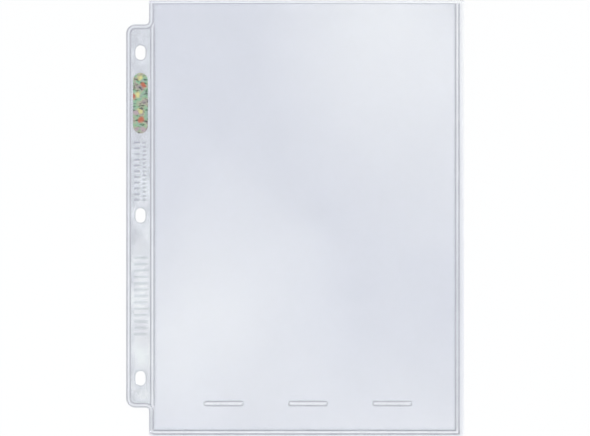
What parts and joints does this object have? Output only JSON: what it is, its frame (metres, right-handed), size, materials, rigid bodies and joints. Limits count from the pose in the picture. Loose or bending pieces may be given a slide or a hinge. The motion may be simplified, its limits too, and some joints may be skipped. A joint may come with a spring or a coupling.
{
  "type": "sheet protector",
  "caption": "Clear top-loading sheet protector for a ring binder: welded plastic films make an open-topped pocket, with a punched binding strip that folds along its spine weld.",
  "frame": {"origin": "on the underside of the back film, in the middle of the page's outline", "axes": "+X across the page away from the binding strip, +Y up the page to the open mouth, +Z out of the front film; the page lies flat on its back film"},
  "size_m": [0.224, 0.2906, 0.0034],
  "materials": {
    "clear_film": "gloss",
    "clear_weld": "gloss",
    "foil": "gloss"
  },
  "bodies": {
    "pocket": {"back_film": "clear_film", "upper_left_weld": "clear_weld", "lower_left_weld": "clear_weld", "bottom_weld": "clear_weld", "right_weld": "clear_weld", "spine_pocket_bead": "clear_weld", "stop_weld_left": "clear_weld", "stop_weld_middle": "clear_weld", "stop_weld_right": "clear_weld"},
    "front_panel": {"front_film": "clear_film"},
    "strip": {"strip_back_film": "clear_film", "strip_front_film": "clear_film", "strip_rim_weld": "clear_weld", "spine_strip_bead": "clear_weld", "foil_seal": "foil"}
  },
  "joints": [
    {"name": "strip_fold", "type": "hinge", "parent": "pocket", "child": "strip", "pos_m": [-0.09465, 0.00285, 0.0001], "axis": [0, 1, 0], "range_deg": [-90, 90]},
    {"name": "mouth_open", "type": "hinge", "parent": "pocket", "child": "front_panel", "pos_m": [0, -0.1394, 0.00038], "axis": [1, 0, 0], "range_deg": [0, 2.5], "deforming": ["front_film"]}
  ]
}
